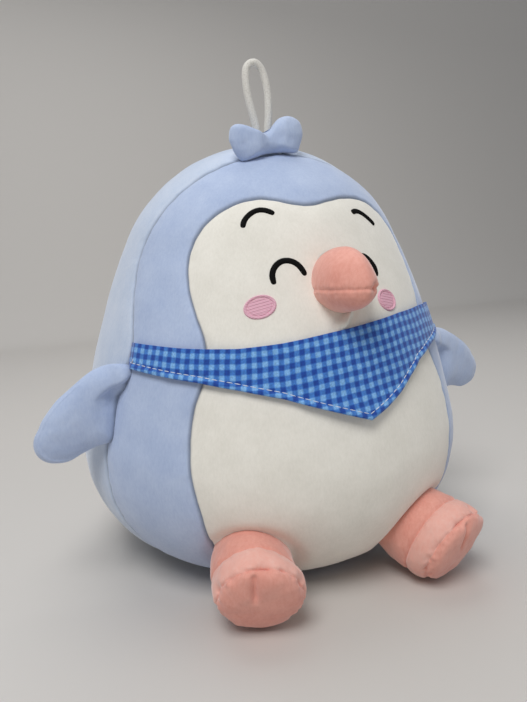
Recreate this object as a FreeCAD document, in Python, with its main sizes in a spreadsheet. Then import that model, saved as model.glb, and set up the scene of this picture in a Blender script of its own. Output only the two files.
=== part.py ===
import FreeCAD, Part
import math
import os
import Sketcher
from FreeCAD import Vector as V

# A seated plush penguin, 235 mm from floor to crown, +Z up, facing -Y.
# The origin is on the floor at the middle of its flat base.
# Every sub-part lies where it does on the finished toy.

doc = FreeCAD.newDocument("plush_penguin")

# Driving dimensions in millimetres and degrees.
SIZES = {
    # body outline: floor disc, belly arc, side arc and head arc, each tangent to the next
    "base_disc": 42.5, "belly_arc": 68.8, "side_arc": 455, "head_arc": 84.9, "head_centre": 149.9,
    # thickness of plush fabric, of the raised thread and of the bandana cloth
    "fabric": 2, "thread_height": 0.8, "cloth": 1.2, "tip_lift": 1, "base_panel_radius": 66,
    # beak
    "beak_width": 31, "beak_reach": 26, "beak_nose": 10.5, "beak_y": -92,
    "beak_z": 161.5, "beak_seam_z": 157.5,
    # wings: each is a padded flipper in a plane across the toy
    "wing_y": -34, "wing_thickness": 13, "wing_edge": 5.6,
    # legs: a ball in the body, a sleeve, a foot and a sole along one axis
    "leg_x": 47, "leg_y": -85, "leg_z": 26.2, "leg_ball": 22.5, "leg_gap": 0.6,
    "leg_splay": 20, "leg_droop": 12, "ankle": 9.5, "foot_bulge": 22.2, "foot_length": 27.5,
    # tuft and hang loop
    "tuft_x": -9.5, "tuft_y": -38, "tuft_thickness": 12, "tuft_edge": 5,
    "cord_thickness": 4, "cord_y": -27,
    # bandana
    "band_end_z": 128, "fold_z": 110, "tip_z": 96.5,
    # embroidery stroke
    "stroke": 2.8,
}
sheet = doc.addObject("Spreadsheet::Sheet", "Sizes")
for row, (alias, value) in enumerate(SIZES.items(), 1):
    sheet.set("A%d" % row, alias)
    sheet.set("B%d" % row, str(value))
    sheet.setAlias("B%d" % row, alias)
doc.recompute()

PIECES = []


def size(alias):
    """Value of one driving dimension."""
    return float(sheet.get(alias))


def piece(obj, label):
    """Name a finished sub-part, which is written to its own file."""
    obj.Label = label
    PIECES.append(obj)
    return obj


def body_sketch(name, role):
    """A new body with one sketch on the origin plane that has this role."""
    body = doc.addObject("PartDesign::Body", name)
    sketch = body.newObject("Sketcher::SketchObject", name + "_outline")
    plane = [f for f in body.Origin.OriginFeatures if f.Role == role][0]
    sketch.AttachmentSupport = [(plane, "")]
    sketch.MapMode = "FlatFace"
    return body, sketch


def fix(sketch, kind, name, expression, value, *where):
    """One dimension of a sketch, bound to the sheet."""
    number = sketch.addConstraint(Sketcher.Constraint(kind, *where, value))
    sketch.renameConstraint(number, name)
    sketch.setExpression("Constraints." + name, expression)


def boolean(kind, name, base, *tools):
    """Part::Cut or Part::Common of a base and the union of its tools."""
    obj = doc.addObject("Part::" + kind, name)
    obj.Base = base
    obj.Tool = tools[0] if len(tools) == 1 else union(name + "_tools", *tools)
    return obj


def union(name, *shapes):
    obj = doc.addObject("Part::MultiFuse", name)
    obj.Shapes = list(shapes)
    return obj


def box(name, low, high):
    """A region between two corners, used to split a piece along a seam."""
    obj = doc.addObject("Part::Box", name)
    obj.Length, obj.Width, obj.Height = (b - a for a, b in zip(low, high))
    obj.Placement.Base = V(*low)
    return obj


# ---- body form: the outline turned about Z, grown outward by an offset ----

def side_centre():
    """Centre of the side arc, which touches the belly and head arcs from outside."""
    low = V(size("base_disc"), size("belly_arc"), 0)
    high = V(0, size("head_centre"), 0)
    r_low = size("side_arc") - size("belly_arc")
    r_high = size("side_arc") - size("head_arc")
    gap = high.sub(low).Length
    along = (r_low ** 2 - r_high ** 2 + gap ** 2) / (2 * gap)
    unit = high.sub(low).normalize()
    across = V(-unit.y, unit.x, 0) * math.sqrt(r_low ** 2 - along ** 2)
    return low + unit * along + across


def form(name, offset):
    """Solid of the body outline; offset is an expression, 0 at the fabric's outer face."""
    grow = 0.0
    for term in offset.split("+"):
        sign = -1 if term.strip().startswith("-") else 1
        word = term.strip().lstrip("-").replace("Sizes.", "")
        grow += sign * (size(word) if word in SIZES else float(word))
    disc, belly, head = size("base_disc"), size("belly_arc"), size("head_arc")
    low, side, high = V(disc, belly, 0), side_centre(), V(0, size("head_centre"), 0)
    turn_low = math.atan2(low.y - side.y, low.x - side.x)
    turn_high = math.atan2(high.y - side.y, high.x - side.x)
    body, sketch = body_sketch(name, "XZ_Plane")
    top = high.y + head + grow
    sketch.addGeometry(Part.LineSegment(V(0, -grow, 0), V(disc, -grow, 0)))
    up = V(0, 0, 1)
    for centre, radius, start, end in (
            (low, belly, -math.pi / 2, turn_low), (side, size("side_arc"), turn_low, turn_high),
            (high, head, turn_high, math.pi / 2)):
        circle = Part.Circle(centre, up, radius + grow)
        sketch.addGeometry(Part.ArcOfCircle(circle, start, end))
    sketch.addGeometry(Part.LineSegment(V(0, top, 0), V(0, -grow, 0)))
    for i in (3, 4):
        sketch.addConstraint(Sketcher.Constraint("Coincident", i, 2, (i + 1) % 5, 1))
    sketch.addConstraint(Sketcher.Constraint("PointOnObject", 0, 1, -2))
    sketch.addConstraint(Sketcher.Constraint("Horizontal", 0))
    fix(sketch, "DistanceX", "disc", "Sizes.base_disc", disc, 0, 1, 0, 2)
    fix(sketch, "DistanceY", "belly_z", "Sizes.belly_arc", belly, -1, 1, 1, 3)
    fix(sketch, "DistanceY", "head_z", "Sizes.head_centre", high.y, -1, 1, 3, 3)
    fix(sketch, "Radius", "belly", "Sizes.belly_arc + " + offset, belly + grow, 1)
    fix(sketch, "Radius", "side", "Sizes.side_arc + " + offset, size("side_arc") + grow, 2)
    fix(sketch, "Radius", "head", "Sizes.head_arc + " + offset, head + grow, 3)
    for joint in range(3):
        sketch.addConstraint(Sketcher.Constraint("Tangent", joint, 2, joint + 1, 1))
    sketch.addConstraint(Sketcher.Constraint("PointOnObject", 3, 3, -2))
    turned = body.newObject("PartDesign::Revolution", name + "_turned")
    turned.Profile = sketch
    turned.ReferenceAxis = (sketch, ["V_Axis"])
    return body


def draw(sketch, knots):
    """Closed outline through (x, z) knots; a third and fourth value bend the edge that leaves a knot."""
    for i, knot in enumerate(knots):
        start = V(knot[0], knot[1], 0)
        end = V(knots[(i + 1) % len(knots)][0], knots[(i + 1) % len(knots)][1], 0)
        if len(knot) == 4:
            sketch.addGeometry(Part.Arc(start, V(knot[2], knot[3], 0), end))
        else:
            sketch.addGeometry(Part.LineSegment(start, end))


def hull(circles, inset=0.0):
    """Knots of the outline that wraps circles (x, z, radius), listed anticlockwise.
    A negative radius bends the outline inward round that circle."""
    knots, tangents = [], []
    count = len(circles)
    for i, (x, z, r) in enumerate(circles):
        x2, z2, r2 = circles[(i + 1) % count]
        gap = math.hypot(x2 - x, z2 - z)
        tangents.append(math.atan2(z2 - z, x2 - x) - math.acos((r - r2) / gap))
    for i, (x, z, r) in enumerate(circles):
        first, last = tangents[i - 1], tangents[i]
        if r > 0:
            last += 2 * math.pi * math.ceil((first - last) / (2 * math.pi))
        else:
            last -= 2 * math.pi * math.ceil((last - first) / (2 * math.pi))
        r -= inset
        at = [(x + r * math.cos(t), z + r * math.sin(t)) for t in (first, (first + last) / 2, last)]
        knots += [at[0] + at[1], at[2]]
    return knots


def slab(name, role, knots, length, middle=False):
    """Outline on an origin plane, padded straight; the length is an expression or a number."""
    body, sketch = body_sketch(name, role)
    draw(sketch, knots)
    pad = body.newObject("PartDesign::Pad", name + "_pad")
    pad.Profile = sketch
    if isinstance(length, str):
        pad.setExpression("Length", length)
    else:
        pad.Length = length
    pad.Midplane = middle
    return body


def rounded(body, radius):
    """Round both rims of a slab that was padded along Y."""
    doc.recompute()
    pad = body.Tip
    rim = [i for i, e in enumerate(pad.Shape.Edges, 1) if e.BoundBox.YLength < 0.01]
    fillet = body.newObject("PartDesign::Fillet", body.Name + "_edge")
    fillet.Base = (pad, ["Edge%d" % i for i in rim])
    fillet.setExpression("Radius", radius)


FAR = 200        # beyond every outline sideways
TOP = 260        # above the crown
UNDER = -1       # below the floor
FRONT = "XZ_Plane"
SIDE = "YZ_Plane"

# ---- body skin and stuffing ----
outer = form("form", "0")
inner = form("lining", "-Sizes.fabric")

sockets = []
for side, sign in (("left", 1), ("right", -1)):
    ball = doc.addObject("Part::Sphere", "socket_" + side)
    ball.setExpression("Radius", "Sizes.leg_ball + Sizes.leg_gap")
    ball.setExpression("Placement.Base.x", "%d * Sizes.leg_x" % sign)
    ball.setExpression("Placement.Base.y", "Sizes.leg_y")
    ball.setExpression("Placement.Base.z", "Sizes.leg_z")
    sockets.append(ball)

stuffing = boolean("Cut", "stuffing", inner, *sockets)
piece(stuffing, "body_stuffing")
skin = boolean("Cut", "skin", outer, inner, *sockets)

# white front panel: a face with a dip in its brow, a waist at the neck and a wide belly;
# the right half runs from the brow to the base, and the left half mirrors it
half = [(0, 199), (12, 202), (25, 202.5), (57, 188), (64, 163), (62.5, 147), (62, 131), (67, 115),
        (75.5, 80), (73, 50), (64, 28), (54, 12), (38, UNDER)]
patch = [half[i] + half[i + 1] for i in range(0, len(half) - 1, 2)] + [half[-1]]
flipped = [(-x, z) for x, z in half[::-1]]
patch += [flipped[i] + flipped[i + 1] for i in range(0, len(flipped) - 1, 2)]
front_region = slab("front_region", FRONT, patch, FAR)

# the side seam runs over the head from wing to wing, and down to the base
SEAM = [(-33, UNDER), (-33, 85, -34, 108), (-39, 128, -32, 150), (-22, 178, -23, 200), (-36, 228), (-36, TOP)]
back_region = slab("back_region", SIDE, SEAM + [(FAR, TOP), (FAR, UNDER)], 2 * FAR, middle=True)

base_region = doc.addObject("Part::Cylinder", "base_region")
base_region.setExpression("Radius", "Sizes.base_panel_radius")
base_region.Height = 20

left_half = box("left_half", (0, -FAR, UNDER), (FAR, FAR, TOP))
piece(boolean("Common", "base", skin, base_region), "base_panel")
upper_skin = boolean("Cut", "upper_skin", skin, base_region)
piece(boolean("Common", "front", upper_skin, front_region), "front_panel")
piece(boolean("Cut", "hood", upper_skin, front_region, back_region), "hood_panel")
back_skin = boolean("Common", "back_skin", upper_skin, back_region)
piece(boolean("Common", "back_left", back_skin, left_half), "back_panel_left")
piece(boolean("Cut", "back_right", back_skin, left_half), "back_panel_right")

# ---- beak ----
def beak_form(name, inset):
    """Blunt cone of two tangent arcs turned about the beak's axis, smaller all round by the inset."""
    wide, reach, nose = size("beak_width") / 2, size("beak_reach"), size("beak_nose")
    nose_at = reach - nose
    flank = (wide ** 2 + nose_at ** 2 - nose ** 2) / (2 * (wide - nose))
    lean = math.atan2(nose_at, flank - wide)

    def at(radius, angle, centre):
        return (centre[0] + (radius - inset) * math.cos(angle), centre[1] - (radius - inset) * math.sin(angle))

    front, side = (0, -nose_at), (wide - flank, 0)
    body, sketch = body_sketch(name, "XY_Plane")
    draw(sketch, [at(nose, math.pi / 2, front) + at(nose, (lean + math.pi / 2) / 2, front),
                  at(flank, lean, side) + at(flank, lean / 2, side), at(flank, 0, side),
                  (wide - inset, reach), (0, reach)])
    turned = body.newObject("PartDesign::Revolution", name + "_turned")
    turned.Profile = sketch
    turned.ReferenceAxis = (sketch, ["V_Axis"])
    body.setExpression("Placement.Base.y", "Sizes.beak_y")
    body.setExpression("Placement.Base.z", "Sizes.beak_z")
    return body


beak_outer, beak_inner = beak_form("beak_outer", 0), beak_form("beak_inner", size("fabric"))
beak_cover = boolean("Cut", "beak_cover", beak_outer, beak_inner, outer)
above_seam = box("above_seam", (-FAR, -FAR, size("beak_seam_z")), (FAR, 0, FAR))
piece(boolean("Common", "beak_top", beak_cover, above_seam), "beak_upper")
piece(boolean("Cut", "beak_bottom", beak_cover, above_seam), "beak_lower")
piece(boolean("Cut", "beak_filling", beak_inner, outer), "beak_stuffing")

# ---- embroidery: satin stitch standing a little proud of the face ----
thread = boolean("Cut", "thread", form("thread_form", "Sizes.thread_height"), outer)


def stroke(left, peak, right):
    """Curved stroke of even width through three (x, z) points, with flat ends."""
    arc = Part.Circle(V(*left, 0), V(*peak, 0), V(*right, 0))
    centre, radius = arc.Center, arc.Radius
    knots = []
    for grow, points in ((0.5, (left, peak, right)), (-0.5, (right, peak, left))):
        reach = radius + grow * size("stroke")
        at = [centre + (V(*p, 0) - centre).normalize() * reach for p in points]
        knots += [(at[0].x, at[0].y, at[1].x, at[1].y), (at[2].x, at[2].y)]
    return knots


BROW = ((18.5, 194.3), (26, 196.3), (37, 188))
EYE = ((17, 165.6), (21.5, 171.8), (28.5, 162))
CHEEK = [(27.5, 150.5, 36, 157), (46, 152.5, 36.5, 145.5)]
for side, sign in (("left", 1), ("right", -1)):
    for name, points in (("brow", BROW), ("eye", EYE)):
        region = slab("%s_%s_region" % (name, side), FRONT, stroke(*((sign * x, z) for x, z in points)), FAR)
        piece(boolean("Common", "%s_%s_stitch" % (name, side), thread, region), "%s_%s" % (name, side))
    oval = [(sign * x, z, sign * u, w) for x, z, u, w in CHEEK]
    region = slab("cheek_%s_region" % side, FRONT, oval, FAR)
    piece(boolean("Common", "cheek_%s_stitch" % side, thread, region), "cheek_" + side)

# ---- bandana: a band from seam to seam, and a tip that hangs in front of the chest ----
END_X, BAND_TOP = 90, 138
end, fold, tip = size("band_end_z"), size("fold_z"), size("tip_z")
fold_x = 33.5
band = [(-END_X, end + 6, 0, BAND_TOP), (END_X, end + 6), (END_X, end - 6, 62, end - 10.5)]
band += [(fold_x, fold), (-fold_x, fold, -62, end - 10.5), (-END_X, end - 6)]
cloth = boolean("Cut", "cloth", form("cloth_form", "Sizes.cloth"), outer)
band_region = slab("band_region", FRONT, band, FAR)
piece(boolean("Common", "band", cloth, band_region), "bandana_band")
tip_form = form("tip_form", "Sizes.cloth + Sizes.tip_lift")
raised = boolean("Cut", "raised", tip_form, form("tip_gap", "Sizes.tip_lift"))
tip_top = fold - 0.4
tip_region = slab("tip_region", FRONT, [(fold_x, tip_top), (-fold_x, tip_top), (0, tip)], FAR)
piece(boolean("Common", "tip", raised, tip_region), "bandana_tip")

# ---- wings: front and back covers over a filling, rounded at every edge ----
WING = [(-103.4, 117, 6), (-119, 102, 11.5), (-129, 89, 11.5), (-119, 86, 9.5), (-110.4, 89, 6)]


def flipper(name, circles, inset):
    """Padded flipper, smaller all round by the inset."""
    body = slab(name, FRONT, hull(circles, inset), "Sizes.wing_thickness - %g" % (2 * inset), middle=True)
    rounded(body, "Sizes.wing_edge - %g" % inset)
    body.setExpression("Placement.Base.y", "Sizes.wing_y")
    return body


for side, sign in (("right", 1), ("left", -1)):
    circles = [(sign * x, z, r) for x, z, r in WING][::sign]
    cover = flipper("wing_%s_outer" % side, circles, 0)
    filling = flipper("wing_%s_inner" % side, circles, size("fabric"))
    shell = boolean("Cut", "wing_%s_shell" % side, cover, filling)
    ahead = box("wing_%s_ahead" % side, (-FAR, -FAR, 0), (FAR, size("wing_y"), FAR))
    piece(boolean("Common", "wing_%s_ahead_cover" % side, shell, ahead), "wing_%s_front" % side)
    piece(boolean("Cut", "wing_%s_rear_cover" % side, shell, ahead), "wing_%s_back" % side)
    piece(filling, "wing_%s_stuffing" % side)


# ---- legs: outlines turned about the leg's axis, which leaves the hip along +Z ----
def turned_piece(name, knots):
    """Outline of (radius, reach) knots turned about the leg's axis and set at the hip."""
    body, sketch = body_sketch(name, FRONT)
    draw(sketch, knots)
    spin = body.newObject("PartDesign::Revolution", name + "_turned")
    spin.Profile = sketch
    spin.ReferenceAxis = (sketch, ["V_Axis"])
    return body


def on_ball(radius, height):
    """Point of a ball's outline at this height along the leg."""
    return (math.sqrt(radius ** 2 - height ** 2), height)


ball, ankle, bulge = size("leg_ball"), size("ankle"), size("foot_bulge")
length, fabric = size("foot_length"), size("fabric")
lining = ball - fabric
sole_r, sole_at, mid = bulge - 0.6, length - 6, ankle + 6
hem = -8
sleeve = [on_ball(ball, hem) + (ball, 0), on_ball(ball, ankle), on_ball(lining, ankle) + (lining, 0)]
sleeve += [on_ball(lining, hem)]
foot = [on_ball(ball, ankle) + (bulge, mid), (sole_r, sole_at)]
foot += [(sole_r - fabric, sole_at, bulge - fabric, mid), on_ball(lining, ankle)]
edge = 18
sole = [(sole_r, sole_at, sole_r - 0.9, length - 2), (edge, length), (0, length), (0, length - fabric)]
sole += [(edge - 1, length - fabric), (sole_r - fabric, sole_at)]
filling = [(0, -lining, lining, 0), on_ball(lining, ankle) + (bulge - fabric, mid), (sole_r - fabric, sole_at)]
filling += [(edge - 1, length - fabric), (0, length - fabric)]
splay, droop = math.radians(size("leg_splay")), math.radians(size("leg_droop"))
for side, sign in (("left", 1), ("right", -1)):
    along = V(sign * math.sin(splay) * math.cos(droop), -math.cos(splay) * math.cos(droop), -math.sin(droop))
    for name, knots in (("sleeve", sleeve), ("foot", foot), ("sole", sole), ("stuffing", filling)):
        body = turned_piece("leg_%s_%s_body" % (side, name), knots)
        body.Placement.Rotation = FreeCAD.Rotation(V(0, 0, 1), along)
        body.setExpression("Placement.Base.x", "%d * Sizes.leg_x" % sign)
        body.setExpression("Placement.Base.y", "Sizes.leg_y")
        body.setExpression("Placement.Base.z", "Sizes.leg_z")
        piece(body, "leg_%s_%s" % (side, name))

# ---- tuft: a stuffed bow of two lobes and a waist ----
# circles of the bow's outline: the two lobes, and the dip between them
BOW = ((-11.2, 234.1, 9.4), (11.6, 238.6, 9.4), (-1, 244, -4))


def bow_form(name, inset):
    body = slab(name, FRONT, hull(BOW, inset), "Sizes.tuft_thickness - %g" % (2 * inset), middle=True)
    rounded(body, "Sizes.tuft_edge - %g" % inset)
    body.setExpression("Placement.Base.x", "Sizes.tuft_x")
    body.setExpression("Placement.Base.y", "Sizes.tuft_y")
    return body


bow_outer, bow_inner = bow_form("bow", 0), bow_form("bow_lining", 1.6)
bow_shell = boolean("Cut", "bow_shell", bow_outer, bow_inner)
bow_ahead = box("bow_ahead", (-FAR, -FAR, 0), (FAR, size("tuft_y"), 2 * FAR))
piece(boolean("Common", "bow_front", bow_shell, bow_ahead), "tuft_front")
piece(boolean("Cut", "bow_back", bow_shell, bow_ahead), "tuft_back")
piece(bow_inner, "tuft_stuffing")

# ---- hang loop: elastic cord, both ends sewn into the crown behind the tuft ----
ROUTE = ((-9.8, 229), (-11.9, 238.5), (-14.7, 248.3), (-16.5, 258.4), (-16.3, 266.9), (-15.4, 271.8),
         (-12.7, 274.2), (-9.1, 274.3), (-6.2, 272.1), (-5, 267.3), (-3.8, 258.2), (-4, 248), (-4.6, 238),
         (-4.6, 228))


def cord_path(points):
    """Straight runs joined by tangent arcs, and the radius of each arc."""
    edges, radii, start = [], [], points[0]
    for before, corner, after in zip(points, points[1:], points[2:]):
        to, onward = (corner - before), (after - corner)
        turn = to.getAngle(onward)
        radius = 0.45 * min(to.Length, onward.Length) / math.tan(turn / 2)
        cut = 0.45 * min(to.Length, onward.Length)
        to.normalize()
        onward.normalize()
        first, last = corner - to * cut, corner + onward * cut
        inward = (onward - to).normalize()
        centre = corner + inward * (radius / math.cos(turn / 2))
        edges += [Part.LineSegment(start, first).toShape(),
                  Part.Arc(first, centre - inward * radius, last).toShape()]
        radii.append(radius)
        start = last
    edges.append(Part.LineSegment(start, points[-1]).toShape())
    return Part.Wire(edges), radii


points = [V(x, size("cord_y"), z) for x, z in ROUTE]
path, radii = cord_path(points)
print("hang loop radii", [round(r, 1) for r in radii], "length", round(path.Length, 1))
section = Part.Wire(Part.Circle(points[0], points[1] - points[0], size("cord_thickness") / 2).toShape())
tube = doc.addObject("Part::Feature", "tube")
tube.Shape = path.makePipeShell([section], True, False)
print("hang loop volume over section times length",
      round(tube.Shape.Volume / (path.Length * math.pi * (size("cord_thickness") / 2) ** 2), 3))
piece(boolean("Cut", "loop", tube, outer), "hang_loop")

# ---- check every object, then write one file for each sub-part ----
doc.recompute()
failed = [obj.Name for obj in doc.Objects if "Invalid" in obj.State or "Error" in obj.State]
for obj in PIECES:
    shape = obj.Shape
    if shape.isNull() or not shape.isValid() or not shape.Solids:
        failed.append(obj.Label)
if failed:
    raise RuntimeError("failed: " + ", ".join(failed))
os.makedirs("parts", exist_ok=True)
for obj in PIECES:
    obj.Shape.exportStep("parts/%s.step" % obj.Label)
    print("%-20s %9.0f mm3, %d solids" % (obj.Label, obj.Shape.Volume, len(obj.Shape.Solids)))
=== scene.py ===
"""Looks of a seated plush penguin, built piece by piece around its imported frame."""

import math

import bmesh
import bpy
from bpy.props import FloatProperty, FloatVectorProperty, PointerProperty
from mathutils import Matrix, Vector, noise


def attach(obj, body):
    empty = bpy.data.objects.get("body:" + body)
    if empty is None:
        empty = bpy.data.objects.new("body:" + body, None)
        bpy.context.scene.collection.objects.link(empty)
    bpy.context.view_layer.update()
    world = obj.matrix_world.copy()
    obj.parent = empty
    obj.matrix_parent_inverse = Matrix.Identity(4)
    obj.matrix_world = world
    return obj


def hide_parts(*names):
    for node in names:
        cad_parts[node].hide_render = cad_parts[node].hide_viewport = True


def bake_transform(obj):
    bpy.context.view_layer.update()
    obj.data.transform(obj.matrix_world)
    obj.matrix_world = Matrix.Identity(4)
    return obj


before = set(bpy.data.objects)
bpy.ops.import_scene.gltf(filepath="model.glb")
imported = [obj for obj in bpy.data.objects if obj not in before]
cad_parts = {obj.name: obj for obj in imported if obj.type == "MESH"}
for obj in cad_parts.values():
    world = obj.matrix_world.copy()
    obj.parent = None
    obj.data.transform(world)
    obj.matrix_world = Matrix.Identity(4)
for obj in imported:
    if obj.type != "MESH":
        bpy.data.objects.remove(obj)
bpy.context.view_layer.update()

bl_info = {
    "name": "Plush Penguin",
    "version": (1, 0, 0),
    "blender": (4, 5, 0),
    "location": "3D View > Sidebar > Penguin",
    "description": "Builds the fabric, thread and cord of a seated plush penguin",
    "category": "Object",
}

MM = 0.001
HEART = Vector((0, 0, 100 * MM))    # every ray from here meets the body's skin once


# ---------------------------------------------------------------- small tools

def linear(code):
    """Linear RGBA of an sRGB hex colour."""
    parts = [int(code[i:i + 2], 16) / 255 for i in (1, 3, 5)]
    return tuple(c / 12.92 if c <= 0.04045 else ((c + 0.055) / 1.055) ** 2.4 for c in parts) + (1.0,)


def colour_property(name, description, code):
    """A colour that the user may change, given as an sRGB hex value."""
    return FloatVectorProperty(name=name, description=description, subtype="COLOR", size=4,
                               min=0, max=1, default=linear(code))


def length_property(name, description, millimetres):
    """A length that the user may change."""
    return FloatProperty(name=name, description=description, unit="LENGTH", default=millimetres * MM)


def smooth_line(keys, count, closed=False):
    """Points evenly spread in parameter along a smooth curve through the keys."""
    last = len(keys) if closed else len(keys) - 1
    points = []
    for i in range(count):
        place = last * i / (count if closed else count - 1)
        k = min(int(place), last - 1)
        t = place - k
        if closed:
            a, b, c, d = (keys[(k + j) % len(keys)] for j in (-1, 0, 1, 2))
        else:
            a, b, c, d = (keys[max(0, min(len(keys) - 1, k + j))] for j in (-1, 0, 1, 2))
        points.append(0.5 * ((2 * b) + (c - a) * t + (2 * a - 5 * b + 4 * c - d) * t ** 2
                             + (3 * b - a - 3 * c + d) * t ** 3))
    return points


def smooth_line_point(keys, t):
    """Point at parameter t, 0 to 1, of the smooth closed curve through the keys."""
    place = (t % 1.0) * len(keys)
    k = int(place)
    a, b, c, d = (Vector(keys[(k + j) % len(keys)]) for j in (-1, 0, 1, 2))
    t = place - k
    return 0.5 * ((2 * b) + (c - a) * t + (2 * a - 5 * b + 4 * c - d) * t ** 2
                  + (3 * b - a - 3 * c + d) * t ** 3)


def between(points, t):
    """Point at parameter t, 0 to 1, of an evenly spread line."""
    place = max(0.0, min(1.0, t)) * (len(points) - 1)
    k = min(int(place), len(points) - 2)
    return points[k].lerp(points[k + 1], place - k)


def ease(t):
    """Smooth step from 0 to 1."""
    t = max(0.0, min(1.0, t))
    return t * t * (3 - 2 * t)


def bump(distance, width):
    """A soft hill of height 1 that is about twice the width across."""
    return math.exp(-(distance / width) ** 2)


def crumple(point, grain, seed=0.0):
    """Smooth noise, -1 to 1, whose hills are about one grain apart."""
    return noise.noise(Vector(point) / grain + Vector((seed, 7.3, 1.9)))


def grid_sheet(across, along, place, uv=None, closed=False):
    """A bmesh grid whose point (u, v), both 0 to 1, goes to place(u, v), a point or a point and
    a mark of painted shade that is 1 on a seam."""
    bm = bmesh.new()
    bmesh.ops.create_grid(bm, x_segments=across, y_segments=along, size=0.5, calc_uvs=False)
    layer = bm.loops.layers.uv.new("flat") if uv else None
    for vert in bm.verts:
        vert.co.z = 0
    if uv:
        for face in bm.faces:
            for loop in face.loops:
                loop[layer].uv = uv(loop.vert.co.x + 0.5, loop.vert.co.y + 0.5)
    # The seam layer holds the mark of painted shade that the plush finish reads.
    seam = bm.verts.layers.float.new("seam")
    for vert in bm.verts:
        placed = place(vert.co.x + 0.5, vert.co.y + 0.5)
        vert.co, vert[seam] = placed if isinstance(placed, tuple) else (placed, 0)
    if closed:
        bmesh.ops.remove_doubles(bm, verts=bm.verts, dist=0.02 * MM)
    bmesh.ops.recalc_face_normals(bm, faces=bm.faces)
    return bm


def face_out(bm, centre):
    """Turn a sheet's faces away from a centre inside the piece."""
    wrong = sum(1 if f.normal.dot(f.calc_center_median() - centre) < 0 else -1 for f in bm.faces)
    if wrong > 0:
        bmesh.ops.reverse_faces(bm, faces=bm.faces)


def thicken(bm, millimetres):
    """Give a sheet its cloth thickness, inward from its face."""
    bmesh.ops.solidify(bm, geom=bm.faces[:], thickness=millimetres * MM)


def finished(bm, name, finish, body, replaces=(), cloth=0.0):
    """Turn a bmesh into a named piece that rides on a body, with its cloth's thickness inside."""
    mesh = bpy.data.meshes.new(name)
    bm.to_mesh(mesh)
    bm.free()
    mesh.shade_smooth()
    mesh.materials.append(finish_of(finish))
    piece = bpy.data.objects.new(name, mesh)
    if cloth:
        wall = piece.modifiers.new("cloth", "SOLIDIFY")
        wall.thickness = cloth
        wall.offset = -1
    bpy.context.scene.collection.objects.link(piece)
    if body:
        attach(piece, body)
    if replaces:
        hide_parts(*replaces)
    return piece


# ---------------------------------------------------------------- body shape

class BodyShape:
    """The skin of the body: a disc, a belly arc, a side arc and a head arc turned about Z."""

    def __init__(self, sizes):
        low = Vector((sizes.base_disc, sizes.belly_arc))
        high = Vector((0, sizes.head_centre))
        r_low, r_high = sizes.side_arc - sizes.belly_arc, sizes.side_arc - sizes.head_arc
        gap = (high - low).length
        along = (r_low ** 2 - r_high ** 2 + gap ** 2) / (2 * gap)
        unit = (high - low).normalized()
        across = Vector((-unit.y, unit.x))
        side = low + unit * along + across * math.sqrt(r_low ** 2 - along ** 2)
        turn_low = math.atan2(low.y - side.y, low.x - side.x)
        turn_high = math.atan2(high.y - side.y, high.x - side.x)
        self.table = [(-math.pi / 2, HEART.z, -math.pi / 2)]
        for step in range(1, 20):
            self.add(Vector((sizes.base_disc * step / 20, 0)), -math.pi / 2)
        for centre, radius, start, end in ((low, sizes.belly_arc, -math.pi / 2, turn_low),
                                           (side, sizes.side_arc, turn_low, turn_high),
                                           (high, sizes.head_arc, turn_high, math.pi / 2)):
            for step in range(80):
                turn = start + (end - start) * step / 80
                self.add(centre + radius * Vector((math.cos(turn), math.sin(turn))), turn)
        self.add(high + Vector((0, sizes.head_arc)), math.pi / 2)

    def add(self, point, lean):
        """Note one point of the profile: its elevation from the heart, its reach and its lean."""
        rise = Vector((point.x, point.y - HEART.z))
        self.table.append((math.atan2(rise.y, rise.x), rise.length, lean))

    def look_up(self, elevation):
        low, high = 0, len(self.table) - 1
        while high - low > 1:
            middle = (low + high) // 2
            if self.table[middle][0] <= elevation:
                low = middle
            else:
                high = middle
        a, b = self.table[low], self.table[high]
        t = (elevation - a[0]) / max(1e-9, b[0] - a[0])
        return a[1] + (b[1] - a[1]) * t, a[2] + (b[2] - a[2]) * t

    def skin(self, direction, lift=0.0):
        """Point of the skin along a direction from the heart, and the outward normal there."""
        flat = math.hypot(direction.x, direction.y)
        reach, lean = self.look_up(math.atan2(direction.z, flat))
        unit = direction.normalized()
        around = Vector((direction.x, direction.y)) / flat if flat > 1e-9 else Vector((0, -1))
        normal = Vector((around.x * math.cos(lean), around.y * math.cos(lean), math.sin(lean)))
        return HEART + unit * reach + normal * lift, normal

    def radius(self, z):
        """Distance of the skin from the axis at a height."""
        best = 0.0
        for (e1, r1, _), (e2, r2, _) in zip(self.table, self.table[1:]):
            z1, z2 = HEART.z + r1 * math.sin(e1), HEART.z + r2 * math.sin(e2)
            if z1 < z2 and z1 <= z <= z2:
                t = (z - z1) / (z2 - z1)
                best = max(best, r1 * math.cos(e1) + t * (r2 * math.cos(e2) - r1 * math.cos(e1)))
        return best

    def front(self, x, z):
        """Direction of the skin point at this x and z, in millimetres, on the toy's front."""
        r = self.radius(z * MM)
        x = max(-r * 0.999, min(r * 0.999, x * MM))
        return (Vector((x, -math.sqrt(r * r - x * x), z * MM)) - HEART).normalized()

    def around(self, azimuth, z):
        """Direction of the skin point at an azimuth from the front, in degrees, and a height."""
        r, a = self.radius(z * MM), math.radians(azimuth)
        return (Vector((r * math.sin(a), -r * math.cos(a), z * MM)) - HEART).normalized()


# Outline of the white panel, left of the middle, from the brow dip to the base: x and height.
PATCH = ((-5, 198.6), (3, 199.2), (13, 201.4), (25, 202.6), (35, 201.2), (46, 195.8), (55, 187.5),
         (60.8, 177.5), (63.6, 167), (64.4, 156), (63.6, 146), (62.4, 137), (63, 126), (65.8, 117),
         (70.5, 106), (73.6, 94), (75.4, 80), (74.6, 66), (71.5, 52), (67, 36), (60, 22), (50, 12),
         (41, 6.6))
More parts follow.
